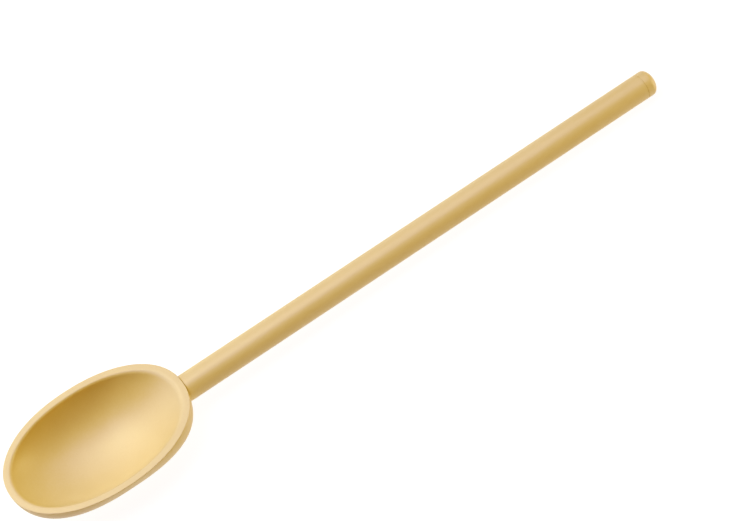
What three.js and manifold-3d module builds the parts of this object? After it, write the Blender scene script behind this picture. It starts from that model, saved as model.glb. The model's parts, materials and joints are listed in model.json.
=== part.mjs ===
// Cooking spoon in a pale moulded composite: a deep oval bowl with a flat rim and a spigot at its heel,
// a straight hollow handle bonded over the spigot, and a domed plug that closes the handle's end.
// Millimetres, +Z up. The spoon lies on its belly and on the handle's end, bowl at -X, handle along +X,
// with the origin under the middle of its length.
import * as THREE from 'three';
import { mergeVertices } from 'three/addons/utils/BufferGeometryUtils.js';
import Module from 'manifold-3d';

const wasm = await Module();
wasm.setup();

// Bowl, over the outside
const bowlLength = 97.3;
const bowlWidth = 60;
const bowlDepth = 23.6;

// Wall of the bowl: the flat rim's width, the floor's thickness and the rounding of the rim's two edges
const rimWidth = 3.8;
const floorThickness = 3.2;
const rimOuterRound = 0.3;
const rimInnerRound = 1.3;

// Fullness of the rim's outline at its two ends: the power of its superellipse, 2 for an ellipse and more
// for a blunter end
const rimForm = { tip: 2.13, heel: 2.14 };

// How the outside and the hollow go down from the rim at the tip, the heel and the sides: how steep they start
// and how flat they end, 2 and 2 for an ellipse. The tip and the heel also have the fullness of their outline
// at half depth, where it differs most from the rim's.
const outerForm = {
  tip: { steep: 2.3, flat: 2.3, blunt: 2.36 },
  heel: { steep: 2.3, flat: 2.3, blunt: 2.74 },
  side: { steep: 2.11, flat: 2.11 },
};
const innerForm = {
  tip: { steep: 1.25, flat: 2.1, blunt: 2.2 },
  heel: { steep: 0.85, flat: 2.3, blunt: 2 },
  side: { steep: 2, flat: 2.1 },
};

// Handle: its reach runs from the heel of the rim to the tip of the end's dome, its drop is how far the
// middle of the tube lies under the rim there, and it rises towards its end
const handleReach = 282.7;
const handleDiameter = 13.8;
const handleBore = 9;
const handleDrop = 7.5;
const handleRise = THREE.MathUtils.degToRad(1.07);

// Bonded joints: how far the spigot and the plug's shank reach into the bore, their lead-in chamfer, and
// the bond line left between mating pieces
const spigotLength = 30;
const shankLength = 18;
const leadIn = 1;
const bondLine = 0.3;

// Head of the end plug: a straight collar and a dome
const collarLength = 3;
const domeHeight = 4;

// Fineness of the facets
const ovalSides = 84;
const wallSteps = 18;
const edgeSteps = 3;
const roundSides = 48;
const domeSteps = 8;
const weldTolerance = 1e-4;
const tiltHalvings = 40;

const composite = new THREE.MeshStandardMaterial({ color: 0xe4c281, roughness: 0.5, metalness: 0 });

// Worked out sizes
const halfLength = bowlLength / 2;
const halfWidth = bowlWidth / 2;
const handleRadius = handleDiameter / 2;
const boreRadius = handleBore / 2;
const bondedRadius = boreRadius - bondLine;
const tubeEnd = handleReach - domeHeight - collarLength - bondLine;
const rootInset = handleDiameter; // how far inside the heel the tube and the spigot start before they are cut
const quarterTurn = Math.PI / 2;

// Share of the rim's half size that a basin still has at a level, from 0 at the rim to 1 at the bottom
function shareAt(level, { steep, flat }) {
  return (1 - level ** steep) ** (1 / flat);
}

// One level ring of a basin at a depth, widened by an amount: a superellipse whose tip and heel halves have
// their own length and fullness
function basinRing(size, form, depth, widen) {
  const level = depth / size.depth;
  const bluntness = Math.sin(Math.PI * level);
  const across = size.across * shareAt(level, form.side) + widen;
  const ring = [];
  for (let i = 0; i < ovalSides; i += 1) {
    const turn = (2 * Math.PI * i) / ovalSides;
    const cosine = Math.cos(turn);
    const sine = Math.sin(turn);
    const end = cosine < 0 ? 'tip' : 'heel';
    const along = size.along * shareAt(level, form[end]) + widen;
    const power = 2 / THREE.MathUtils.lerp(rimForm[end], form[end].blunt, bluntness);
    const x = along * Math.sign(cosine) * Math.abs(cosine) ** power;
    const y = across * Math.sign(sine) * Math.abs(sine) ** power;
    ring.push(new THREE.Vector3(x, y, -depth));
  }
  return ring;
}

// Rings of a basin's wall, from a first depth down to just above its deepest point
function basinWall(size, form, firstDepth) {
  const rings = [];
  const firstAngle = Math.asin(firstDepth / size.depth);
  for (let i = 0; i < wallSteps; i += 1) {
    const level = Math.sin(firstAngle + ((quarterTurn - firstAngle) * i) / wallSteps);
    rings.push(basinRing(size, form, size.depth * level, 0));
  }
  return rings;
}

// Closed solid through a stack of rings, from a flat top down to a single deepest point
function loft(rings, depth) {
  const top = new THREE.Vector3(0, 0, rings[0][0].z);
  const points = [top, ...rings.flat(), new THREE.Vector3(0, 0, -depth)];
  const last = points.length - 1;
  const triangles = [];
  for (let i = 0; i < ovalSides; i += 1) {
    const next = (i + 1) % ovalSides;
    triangles.push(0, 1 + i, 1 + next);
    for (let row = 0; row < rings.length - 1; row += 1) {
      const upper = 1 + row * ovalSides;
      const lower = upper + ovalSides;
      triangles.push(upper + i, lower + i, lower + next, upper + i, lower + next, upper + next);
    }
    const lowest = 1 + (rings.length - 1) * ovalSides;
    triangles.push(lowest + i, last, lowest + next);
  }
  return new THREE.BufferGeometry().setFromPoints(points).setIndex(triangles);
}

// Quarter round at the rim: rings from the flat top, widened or narrowed by up to the radius, down to the wall
function rimEdge(size, form, radius, side) {
  const rings = [];
  for (let i = 0; i < edgeSteps; i += 1) {
    const angle = (quarterTurn * i) / edgeSteps;
    const depth = radius * (1 - Math.cos(angle));
    const widen = side * radius * (1 - Math.sin(angle));
    rings.push(basinRing(size, form, depth, widen));
  }
  return rings;
}

// Solid of revolution about +X from a profile of [distance along X, radius] corners
function turned(profile) {
  const corners = profile.map(([along, radius]) => new THREE.Vector2(radius, along));
  return new THREE.LatheGeometry(corners, roundSides).rotateZ(-quarterTurn);
}

function toSolid(geometry) {
  const bare = geometry.clone().deleteAttribute('normal').deleteAttribute('uv');
  const merged = mergeVertices(bare, weldTolerance);
  const vertProperties = merged.attributes.position.array;
  const triVerts = new Uint32Array(merged.index.array);
  return new wasm.Manifold(new wasm.Mesh({ numProp: 3, vertProperties, triVerts }));
}

function toMesh(solid, name) {
  const { vertProperties, triVerts } = solid.getMesh();
  const geometry = new THREE.BufferGeometry();
  geometry.setAttribute('position', new THREE.BufferAttribute(vertProperties, 3));
  geometry.setIndex(new THREE.BufferAttribute(triVerts, 1));
  geometry.computeVertexNormals();
  return named(geometry, name);
}

function named(geometry, name) {
  const mesh = new THREE.Mesh(geometry, composite.clone());
  mesh.name = name;
  return mesh;
}

// Place of the handle on the bowl: its X axis starts at the heel of the rim and rises towards the end
const handle = new THREE.Group();
handle.position.set(halfLength, 0, -handleDrop);
handle.rotation.y = -handleRise;
handle.updateMatrix();

// Bowl: a blank with its spigot, hollowed by a basin that leaves the rim and the floor
function makeBowl() {
  const outside = { along: halfLength, across: halfWidth, depth: bowlDepth };
  const outerWall = basinWall(outside, outerForm, rimOuterRound);
  const blank = loft([...rimEdge(outside, outerForm, rimOuterRound, -1), ...outerWall], outside.depth);

  const inside = {
    along: halfLength - rimWidth,
    across: halfWidth - rimWidth,
    depth: bowlDepth - floorThickness,
  };
  const innerWall = basinWall(inside, innerForm, rimInnerRound);
  const flare = rimEdge(inside, innerForm, rimInnerRound, 1);
  const mouth = flare[0].map((point) => point.clone().setZ(inside.depth));
  const hollow = loft([mouth, ...flare, ...innerWall], inside.depth);

  const spigot = turned([
    [-rootInset, 0],
    [-rootInset, bondedRadius],
    [spigotLength - leadIn, bondedRadius],
    [spigotLength, bondedRadius - leadIn],
    [spigotLength, 0],
  ]).applyMatrix4(handle.matrix);

  return toMesh(toSolid(blank).add(toSolid(spigot)).subtract(toSolid(hollow)), 'bowl');
}

// Handle tube: cut at its front end to the curve of the bowl's heel, one bond line away from it
function makeHandleTube() {
  const tube = turned([
    [-rootInset, boreRadius],
    [-rootInset, handleRadius],
    [tubeEnd, handleRadius],
    [tubeEnd, boreRadius],
    [-rootInset, boreRadius],
  ]);
  const cleared = {
    along: halfLength + bondLine,
    across: halfWidth + bondLine,
    depth: bowlDepth + bondLine,
  };
  const wall = basinWall(cleared, outerForm, 0);
  const raised = wall[0].map((point) => point.clone().setZ(handleDiameter));
  const heel = loft([raised, ...wall], cleared.depth).applyMatrix4(handle.matrix.clone().invert());
  return toMesh(toSolid(tube).subtract(toSolid(heel)), 'handle_tube');
}

// End plug: shank in the bore, collar of the tube's diameter and an elliptical dome
function makeEndPlug() {
  const shoulder = tubeEnd + bondLine;
  const shankStart = shoulder - shankLength;
  const profile = [
    [shankStart, 0],
    [shankStart, bondedRadius - leadIn],
    [shankStart + leadIn, bondedRadius],
    [shoulder, bondedRadius],
    [shoulder, handleRadius],
  ];
  for (let i = 0; i < domeSteps; i += 1) {
    const angle = (quarterTurn * i) / domeSteps;
    profile.push([shoulder + collarLength + domeHeight * Math.sin(angle), handleRadius * Math.cos(angle)]);
  }
  profile.push([handleReach, 0]);
  return named(turned(profile), 'end_plug');
}

// Lowest point of a mesh when the spoon is tilted by an angle about Y
function lowestPoint(mesh, tilt) {
  const place = new THREE.Matrix4().makeRotationY(tilt).multiply(mesh.matrixWorld);
  const point = new THREE.Vector3();
  let lowest = Infinity;
  for (let i = 0; i < mesh.geometry.attributes.position.count; i += 1) {
    point.fromBufferAttribute(mesh.geometry.attributes.position, i).applyMatrix4(place);
    lowest = Math.min(lowest, point.z);
  }
  return lowest;
}

// Tilt that lets the belly and the handle's end touch the table together, found by halving
function restTilt(bowl, endPlug) {
  let low = -quarterTurn / 2;
  let high = quarterTurn / 2;
  for (let i = 0; i < tiltHalvings; i += 1) {
    const middle = (low + high) / 2;
    if (lowestPoint(endPlug, middle) > lowestPoint(bowl, middle)) low = middle;
    else high = middle;
  }
  return (low + high) / 2;
}

const bowl = makeBowl();
const endPlug = makeEndPlug();
handle.add(makeHandleTube(), endPlug);

const spoon = new THREE.Group();
spoon.add(bowl, handle);
spoon.updateMatrixWorld(true);
spoon.rotation.y = restTilt(bowl, endPlug);
spoon.updateMatrixWorld(true);

// The tilted spoon is set down with the middle of its length over the origin
const extent = new THREE.Box3().setFromObject(spoon, true);
spoon.position.set(-(extent.min.x + extent.max.x) / 2, 0, -extent.min.z);

export default spoon;
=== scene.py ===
"""Cooking spoon in a pale moulded composite: an oval bowl with a flat rim, a straight round handle bonded
over a spigot at the bowl's heel, and a domed plug in the handle's end. Metres, +Z up, the bowl at -X."""

import json
import math

import bpy
import numpy as np
from mathutils import Matrix, Vector


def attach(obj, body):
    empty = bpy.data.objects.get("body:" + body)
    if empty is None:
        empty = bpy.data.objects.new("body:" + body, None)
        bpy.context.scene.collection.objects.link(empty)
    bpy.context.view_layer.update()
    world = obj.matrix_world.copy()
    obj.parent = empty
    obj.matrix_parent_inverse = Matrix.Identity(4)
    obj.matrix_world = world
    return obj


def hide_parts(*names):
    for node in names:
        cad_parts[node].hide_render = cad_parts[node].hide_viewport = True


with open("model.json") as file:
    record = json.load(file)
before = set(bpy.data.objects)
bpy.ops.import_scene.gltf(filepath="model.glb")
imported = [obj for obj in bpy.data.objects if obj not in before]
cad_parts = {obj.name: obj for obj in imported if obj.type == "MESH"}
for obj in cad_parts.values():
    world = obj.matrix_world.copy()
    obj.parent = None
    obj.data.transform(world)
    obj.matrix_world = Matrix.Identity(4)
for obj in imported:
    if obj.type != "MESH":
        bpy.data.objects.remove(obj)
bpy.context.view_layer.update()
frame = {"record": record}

# Bowl
# The spoon's scoop: a deep oval shell of glass-filled composite with a flat rim, moulded in one piece.
# Its wall runs from the deepest point of the hollow over the rim's two rounded edges and down the outside.
bowl_length = 0.0973
bowl_width = 0.060
bowl_depth = 0.0236
rim_width = 0.0038
floor_thickness = 0.0032
rim_outer_round = 0.0003
rim_inner_round = 0.0013
rim_hold = 0.00006  # flat strip kept beside each rounded edge, so that the rim shades flat
outside_half = np.array([bowl_length / 2, bowl_width / 2, bowl_depth])
hollow_half = outside_half - np.array([rim_width, rim_width, floor_thickness])

# Powers of the rim's oval at the tip and at the heel: 2 for an ellipse, more for a blunter end
rim_power = (2.13, 2.14)

# How flat a wall ends and how steep it starts at the tip, the heel and the sides, 2 and 2 for an ellipse, and
# the powers of its oval at half depth, at the tip and at the heel
outside_form = {"tip": (2.3, 2.3), "heel": (2.3, 2.3), "side": (2.11, 2.11), "blunt": (2.36, 2.74)}
hollow_form = {"tip": (2.1, 1.25), "heel": (2.3, 0.85), "side": (2.1, 2.0), "blunt": (2.2, 2.0)}

bowl_sides = 288
wall_rings = 72
edge_rings = 9
quarter_turn = math.pi / 2
full_turn = math.pi * 2
sharp_fold = math.radians(35)  # an edge that folds by more than this is drawn sharp

rim_face = frame["record"]["mounts"][0]
rim_tilt = math.atan2(rim_face["axis"][0], rim_face["axis"][2])
rim_middle = Vector((rim_face["pos_m"][0], 0, rim_face["pos_m"][2]))


def set_down(points):
    """Points given from the middle of the rim, with the rim level, put where the spoon lies:
    turned about Y by the rim's tilt, then moved to the middle of the rim."""
    x, y, z = np.moveaxis(points, -1, 0)
    cosine, sine = math.cos(rim_tilt), math.sin(rim_tilt)
    laid = [x * cosine + z * sine + rim_middle.x, y, z * cosine - x * sine + rim_middle.z]
    return np.stack(laid, axis=-1)


def wall_ovals(level, half, form):
    """Level ovals of a basin: half sizes at the tip, the heel and the sides, powers of the two ends, height.
    At a level from 0 at the rim to 1 at the bottom each half size is its share (1 - level^steep)^(1/flat) of
    the rim's, and the powers swell from the rim's to the basin's own and back as the sine of half a turn."""
    places = [form["tip"], form["heel"], form["side"]]
    tip_share, heel_share, side_share = [(1 - level ** steep) ** (1 / flat) for flat, steep in places]
    sizes = [half[0] * tip_share, half[0] * heel_share, half[1] * side_share]
    swell = np.sin(np.pi * level)
    powers = [power + (blunt - power) * swell for power, blunt in zip(rim_power, form["blunt"])]
    return np.stack([*sizes, *powers, -half[2] * level], axis=-1)


def basin_ovals(half, form, edge_round, side):
    """Ovals of a basin from the flat rim to just above the bottom. Over the edge's rounding, at an angle, an
    oval is radius (1 - cosine) deep and radius (1 - sine) wider or narrower than the wall there, as the side
    is 1 or -1; under it the depths are sines of even angles."""
    angle = np.linspace(0, quarter_turn, edge_rings)[:-1]
    first = math.asin(edge_round / half[2])
    wall_level = np.sin(np.linspace(first, quarter_turn, wall_rings, endpoint=False))
    level = np.concatenate([[0], edge_round / half[2] * (1 - np.cos(angle)), wall_level])
    cut = np.concatenate([[edge_round + rim_hold], edge_round * (1 - np.sin(angle)), np.zeros(wall_rings)])
    ovals = wall_ovals(level, half, form)
    ovals[:, :3] += side * cut[:, None]
    return ovals


def oval_rings(ovals):
    """Rings of points on level ovals |x / along|^p + |y / across|^p = 1, with the tip's size and power at
    negative x and the heel's at positive x: x = along cos^(2/p), y = across sin^(2/p), signs kept."""
    tip_half, heel_half, across, tip_power, heel_power, height = (column[:, None] for column in ovals.T)
    turn = np.linspace(0, full_turn, bowl_sides, endpoint=False)
    cosine, sine = np.cos(turn), np.sin(turn)
    share = 2 / np.where(cosine < 0, tip_power, heel_power)
    x = np.where(cosine < 0, tip_half, heel_half) * np.sign(cosine) * np.abs(cosine) ** share
    y = across * np.sign(sine) * np.abs(sine) ** share
    return np.stack([x, y, np.broadcast_to(height, x.shape)], axis=-1)


def closed_skin(name, rings, poles=None):
    """Piece over a stack of closed rings: quads join each ring to the next. Two poles close the ends with
    fans of triangles, and without poles the last ring joins the first."""
    rows, sides = rings.shape[:2]
    number = np.arange(rows * sides).reshape(rows, sides)
    here, after = number, np.roll(number, -1, axis=0)
    points = rings.reshape(-1, 3)
    fans = []
    if poles is not None:
        here, after = number[:-1], number[1:]
        points = np.concatenate([points, poles])
        first, last = number[0], number[-1]
        fans += np.stack([np.roll(first, -1), first, np.full(sides, rows * sides)], axis=-1).tolist()
        fans += np.stack([last, np.roll(last, -1), np.full(sides, rows * sides + 1)], axis=-1).tolist()
    quads = np.stack([here, np.roll(here, -1, axis=1), np.roll(after, -1, axis=1), after], axis=-1)
    mesh = bpy.data.meshes.new(name)
    mesh.from_pydata(set_down(points), [], quads.reshape(-1, 4).tolist() + fans)
    mesh.shade_smooth()
    mesh.set_sharp_from_angle(angle=sharp_fold)
    piece = bpy.data.objects.new(name, mesh)
    bpy.context.scene.collection.objects.link(piece)
    return piece


# Finish of the composite: turns per metre and finer layers of its clouds, specks and grain, the specks'
# weight beside the clouds, and the values of the two together between which the pale tint turns deep
cloud_scale, cloud_detail = 45, 3
speck_scale, speck_detail = 900, 2
grain_scale, grain_detail = 2600, 2
speck_share = 0.35
tint_start, tint_end = 0.45, 0.90


def moulded_finish():
    """Node group of the composite's surface, from Object coordinates: slow clouds and fine specks tint the
    colour, and a skin of fine grain varies the roughness and gives the height for a bump."""
    group = bpy.data.node_groups.new("moulded_finish", "ShaderNodeTree")
    taken = {"Pale": "Color", "Deep": "Color", "Smooth": "Float", "Rough": "Float", "Stretch": "Vector"}
    for name, kind in taken.items():
        group.interface.new_socket(name, in_out="INPUT", socket_type="NodeSocket" + kind)
    for name, kind in {"Colour": "Color", "Roughness": "Float", "Height": "Float"}.items():
        group.interface.new_socket(name, in_out="OUTPUT", socket_type="NodeSocket" + kind)
    nodes, link = group.nodes, group.links.new
    given = nodes.new("NodeGroupInput")
    result = nodes.new("NodeGroupOutput")
    place = nodes.new("ShaderNodeTexCoord")
    stretched = nodes.new("ShaderNodeVectorMath")
    stretched.operation = "MULTIPLY"
    link(place.outputs["Object"], stretched.inputs[0])
    link(given.outputs["Stretch"], stretched.inputs[1])

    def noise(scale, detail, source):
        """Noise from 0 to 1 over the coordinates of a source."""
        texture = nodes.new("ShaderNodeTexNoise")
        texture.inputs["Scale"].default_value = scale
        texture.inputs["Detail"].default_value = detail
        link(source, texture.inputs["Vector"])
        return texture.outputs["Fac"]

    clouds = noise(cloud_scale, cloud_detail, stretched.outputs["Vector"])
    specks = noise(speck_scale, speck_detail, stretched.outputs["Vector"])
    grain = noise(grain_scale, grain_detail, place.outputs["Object"])

    blend = nodes.new("ShaderNodeMath")
    blend.operation = "MULTIPLY_ADD"
    blend.inputs[1].default_value = speck_share
    link(specks, blend.inputs[0])
    link(clouds, blend.inputs[2])
    spread = nodes.new("ShaderNodeMapRange")
    spread.inputs["From Min"].default_value = tint_start
    spread.inputs["From Max"].default_value = tint_end
    link(blend.outputs["Value"], spread.inputs["Value"])

    tint = nodes.new("ShaderNodeMix")
    tint.data_type = "RGBA"
    link(spread.outputs["Result"], tint.inputs["Factor"])
    link(given.outputs["Pale"], tint.inputs["A"])
    link(given.outputs["Deep"], tint.inputs["B"])
    gloss = nodes.new("ShaderNodeMix")
    link(grain, gloss.inputs["Factor"])
    link(given.outputs["Smooth"], gloss.inputs["A"])
    link(given.outputs["Rough"], gloss.inputs["B"])
    link(tint.outputs["Result"], result.inputs["Colour"])
    link(gloss.outputs["Result"], result.inputs["Roughness"])
    link(grain, result.inputs["Height"])
    return group


finish_group = moulded_finish()
composite_pale = (0.835, 0.688, 0.305, 1)
composite_deep = (0.80, 0.645, 0.265, 1)
composite_smooth = 0.42
composite_rough = 0.55
composite_gloss = 1.0
grain_depth = 0.00003
grain_strength = 0.5


def composite(name, stretch):
    """Satin composite: a Principled shader fed by the moulded finish, with its grain as a bump. The finish's
    coordinates are multiplied by the stretch, so that less than 1 draws the tint out along that axis."""
    material = bpy.data.materials.new(name)
    material.use_nodes = True
    nodes, link = material.node_tree.nodes, material.node_tree.links.new
    shader = nodes["Principled BSDF"]
    shader.inputs["Specular IOR Level"].default_value = composite_gloss
    surface = nodes.new("ShaderNodeGroup")
    surface.node_tree = finish_group
    surface.inputs["Pale"].default_value = composite_pale
    surface.inputs["Deep"].default_value = composite_deep
    surface.inputs["Smooth"].default_value = composite_smooth
    surface.inputs["Rough"].default_value = composite_rough
    surface.inputs["Stretch"].default_value = stretch
    bump = nodes.new("ShaderNodeBump")
    bump.inputs["Strength"].default_value = grain_strength
    bump.inputs["Distance"].default_value = grain_depth
    link(surface.outputs["Colour"], shader.inputs["Base Color"])
    link(surface.outputs["Roughness"], shader.inputs["Roughness"])
    link(surface.outputs["Height"], bump.inputs["Height"])
    link(bump.outputs["Normal"], shader.inputs["Normal"])
    return material


even_stretch = (1, 1, 1)
hollow_side = basin_ovals(hollow_half, hollow_form, rim_inner_round, side=1)
outside_side = basin_ovals(outside_half, outside_form, rim_outer_round, side=-1)
bowl_rings = oval_rings(np.concatenate([hollow_side[::-1], outside_side]))
bowl_poles = np.array([[0, 0, -hollow_half[2]], [0, 0, -outside_half[2]]])
bowl = closed_skin("bowl_shell", bowl_rings, bowl_poles)
bowl.data.materials.append(composite("bowl_composite", even_stretch))
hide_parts("bowl")
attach(bowl, "root")

# Spigot
# The round stub on the bowl's heel that the handle is bonded over, of the same composite and one with the
# bowl: its root lies in the heel's wall, cut to the wall's curve, and its tip has a lead-in chamfer.
handle_drop = 0.0075  # of the handle's middle line under the rim, at the heel
handle_rise = math.radians(1.07)  # of that line from the plane of the rim
handle_bore = 0.009
bond_line = 0.0003
spigot_length = 0.030
lead_in = 0.001
spigot_root = 0.0015  # depth of the root in the heel's wall
handle_sides = 96
cope_rounds = 8
bonded_radius = handle_bore / 2 - bond_line
handle_turn = np.linspace(0, full_turn, handle_sides, endpoint=False)


def handle_points(along, radius):
    """Rings of points about the handle's middle line, at a distance along it from the heel of the rim and a
    radius. A ring's angle runs from +Y over the top, and the line climbs from its drop by its rise."""
    height = radius * np.sin(handle_turn)
    cosine, sine = math.cos(handle_rise), math.sin(handle_rise)
    x = outside_half[0] + along * cosine - height * sine
    y = radius * np.cos(handle_turn)
    z = along * sine + height * cosine - handle_drop
    return np.stack(np.broadcast_arrays(x, y, z), axis=-1)


def middle_point(along):
    """Point on the handle's middle line: a ring of no radius."""
    return handle_points(along, 0)[0]


def heel_cope(radius, grow):
    """Distance along the handle at which a ring meets the bowl's heel, grown by a clearance: each round moves
    the ring's points along the handle to the wall's x = along (1 - |y / across|^p)^(1/p) at their height."""
    half = outside_half + grow
    along = np.zeros(handle_sides)
    for _ in range(cope_rounds):
        x, y, z = np.moveaxis(handle_points(along, radius), -1, 0)
        ovals = wall_ovals(np.clip(-z / half[2], 0, 1), half, outside_form)
        wall_along, wall_across, power = ovals[:, 1], ovals[:, 2], ovals[:, 4]
        along = along + wall_along * (1 - (np.abs(y) / wall_across) ** power) ** (1 / power) - x
    return along


root_end = heel_cope(bonded_radius, -spigot_root)
spigot_rings = np.stack([
    handle_points(root_end, bonded_radius),
    handle_points(spigot_length - lead_in, bonded_radius),
    handle_points(spigot_length, bonded_radius - lead_in),
])
spigot_poles = [middle_point(root_end.mean()), middle_point(spigot_length)]
spigot = closed_skin("heel_spigot", spigot_rings, spigot_poles)
spigot.data.materials.append(bowl.data.materials[0])
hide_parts("bowl")
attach(spigot, "root")

# Handle tube
# The straight hollow handle, a drawn composite tube: its front end is cut to the curve of the bowl's heel and
# bonded over the spigot, and its far end is cut square for the plug.
handle_reach = 0.2827  # from the heel of the rim to the top of the plug's dome
handle_diameter = 0.0138
collar_length = 0.003
dome_height = 0.004
tube_edge = 0.00012  # rounding of the tube's cut ends
heel_seam = 0.00018  # grooves left at the two ends, where the bond fills the joint
plug_seam = 0.00005
tube_rings = 40
drawn_stretch = (0.25, 1, 1)  # the tint is drawn out along the tube
handle_radius = handle_diameter / 2
bore_radius = handle_bore / 2
outside_edge = handle_radius - tube_edge
bore_edge = bore_radius + tube_edge
shoulder = handle_reach - dome_height - collar_length
tube_end = shoulder - plug_seam

front_outside = heel_cope(handle_radius, heel_seam)
front_bore = heel_cope(bore_radius, heel_seam)
share = np.linspace(0, 1, tube_rings)[:, None]
outside_run = (front_outside + tube_edge) * (1 - share) + (tube_end - tube_edge) * share
bore_run = (tube_end - tube_edge) * (1 - share) + (front_bore + tube_edge) * share
square_end = np.full((2, handle_sides), tube_end)
tube_along = np.vstack([front_outside, outside_run, square_end, bore_run, front_bore])
tube_radius = np.concatenate([
    [outside_edge], np.full(tube_rings, handle_radius),
    [outside_edge, bore_edge], np.full(tube_rings, bore_radius), [bore_edge],
])
tube = closed_skin("handle_tube_skin", handle_points(tube_along, tube_radius[:, None]))
tube.data.materials.append(composite("handle_composite", drawn_stretch))
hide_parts("handle_tube")
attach(tube, "root")

# End plug
# The turned composite stopper that closes the handle: a shank bonded in the bore, a collar as thick as the
# tube and a low dome.
shank_length = 0.018
dome_rings = 24
shank_start = shoulder - shank_length
dome_angle = np.linspace(0, quarter_turn, dome_rings, endpoint=False)

plug_along = np.concatenate([
    [shank_start, shank_start + lead_in, shoulder, shoulder, shoulder + tube_edge],
    shoulder + collar_length + dome_height * np.sin(dome_angle),
])
plug_radius = np.concatenate([
    [bonded_radius - lead_in, bonded_radius, bonded_radius, outside_edge, handle_radius],
    handle_radius * np.cos(dome_angle),
])
plug_poles = [middle_point(shank_start), middle_point(handle_reach)]
plug = closed_skin("end_plug_skin", handle_points(plug_along[:, None], plug_radius[:, None]), plug_poles)
plug.data.materials.append(composite("plug_composite", even_stretch))
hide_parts("end_plug")
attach(plug, "root")

# Floor
# A plain pale surface that the spoon lies on, matt and with an even glow: the camera sees it almost white,
# and the light that it gives the spoon from below is slightly warmer.
floor_size = 8.0
floor_grey = (0.2, 0.2, 0.2, 1)
floor_roughness = 0.9
floor_gloss = 0.1
floor_seen = (0.91, 0.91, 0.92, 1)
floor_given = (0.82, 0.76, 0.67, 1)
floor_strength = 1


def glow(tree, seen, given):
    """Colour of a glow in a node tree: the camera sees one tone, and the light that it gives has another."""
    rays = tree.nodes.new("ShaderNodeLightPath")
    tone = tree.nodes.new("ShaderNodeMix")
    tone.data_type = "RGBA"
    tone.inputs["A"].default_value = given
    tone.inputs["B"].default_value = seen
    tree.links.new(rays.outputs["Is Camera Ray"], tone.inputs["Factor"])
    return tone.outputs["Result"]


floor_mesh = bpy.data.meshes.new("floor")
floor_corner = np.array([[-1, -1, 0], [1, -1, 0], [1, 1, 0], [-1, 1, 0]]) * floor_size / 2
floor_mesh.from_pydata(floor_corner, [], [(0, 1, 2, 3)])
floor = bpy.data.objects.new("floor", floor_mesh)
bpy.context.scene.collection.objects.link(floor)
floor_paint = bpy.data.materials.new("pale_floor")
floor_paint.use_nodes = True
floor_shader = floor_paint.node_tree.nodes["Principled BSDF"]
floor_shader.inputs["Base Color"].default_value = floor_grey
floor_shader.inputs["Roughness"].default_value = floor_roughness
floor_shader.inputs["Specular IOR Level"].default_value = floor_gloss
floor_shader.inputs["Emission Strength"].default_value = floor_strength
floor_glow = glow(floor_paint.node_tree, floor_seen, floor_given)
floor_paint.node_tree.links.new(floor_glow, floor_shader.inputs["Emission Color"])
floor_mesh.materials.append(floor_paint)

# Light
# Soft studio lamps: a broad one over the picture's upper left, two smaller ones overhead, towards the tip and
# towards the handle's end, and a small warm one low beyond that end. A faint warm surround fills the shade,
# and the camera sees it as white.
lamp_aim = Vector((-0.10, 0, 0.01))
lamp_distance = 1.3
lamp_white = (1, 1, 1)
lamp_warm = (1, 0.84, 0.42)
surround_seen = (1, 1, 1, 1)
surround_given = (0.113, 0.015, 0.010, 1)


def soft_lamp(name, direction, size, energy, colour):
    """Round area lamp that faces the bowl from a direction, a set distance away."""
    data = bpy.data.lights.new(name, "AREA")
    data.shape = "DISK"
    data.size = size
    data.energy = energy
    data.color = colour
    lamp = bpy.data.objects.new(name, data)
    towards = Vector(direction).normalized()
    lamp.location = lamp_aim + towards * lamp_distance
    lamp.rotation_euler = towards.to_track_quat("Z", "Y").to_euler()
    lamp.visible_camera = False
    bpy.context.scene.collection.objects.link(lamp)


soft_lamp("side_lamp", direction=(-0.54, 0.54, 0.64), size=1.5, energy=7.8, colour=lamp_white)
soft_lamp("tip_lamp", direction=(-0.25, 0.27, 0.93), size=0.9, energy=8.4, colour=lamp_white)
soft_lamp("end_lamp", direction=(0.40, 0.22, 0.89), size=0.9, energy=3.5, colour=lamp_white)
soft_lamp("fill_lamp", direction=(0.934, -0.340, 0.105), size=0.5, energy=6.2, colour=lamp_warm)

surround = bpy.data.worlds.new("surround")
surround.use_nodes = True
surround_glow = glow(surround.node_tree, surround_seen, surround_given)
surround.node_tree.links.new(surround_glow, surround.node_tree.nodes["Background"].inputs["Color"])
bpy.context.scene.world = surround

# Picture tones
# The picture's response, bent a little as a film's is: less green in half shade, less blue in deep shade and
# more of it in the paler tones. Each point is an amount of light, from 0 to 1, before and after.
green_bend = [(0.25, 0.23), (0.60, 0.60)]
blue_bend = [(0.12, 0.075), (0.28, 0.31), (0.40, 0.41)]
picture = bpy.context.scene.view_settings
picture.view_transform = "Standard"
picture.use_curve_mapping = True
green_curve, blue_curve = picture.curve_mapping.curves[1:3]
for curve, bend in [(green_curve, green_bend), (blue_curve, blue_bend)]:
    for before, after in bend:
        curve.points.new(before, after)
picture.curve_mapping.update()

# Camera
# It looks down on the spoon from the bowl's near side, turned so that the handle runs to the upper right.
camera_aim = Vector((0.016245, 0.004320, 0.010))
camera_distance = 1.0843
camera_azimuth = math.radians(-20.293)
camera_elevation = math.radians(63.437)
camera_roll = math.radians(-15.795)
focal_length = 108.2  # in millimetres, as the picture's width is
picture_width = 36
camera_data = bpy.data.cameras.new("camera")
camera_data.lens = focal_length
camera_data.sensor_width = picture_width
camera = bpy.data.objects.new("camera", camera_data)
bearing = Matrix.Rotation(camera_azimuth, 4, "Z") @ Matrix.Rotation(quarter_turn - camera_elevation, 4, "X")
camera.matrix_world = (
    Matrix.Translation(camera_aim) @ bearing @ Matrix.Translation((0, 0, camera_distance))
    @ Matrix.Rotation(camera_roll, 4, "Z")
)
bpy.context.scene.collection.objects.link(camera)
bpy.context.scene.camera = camera
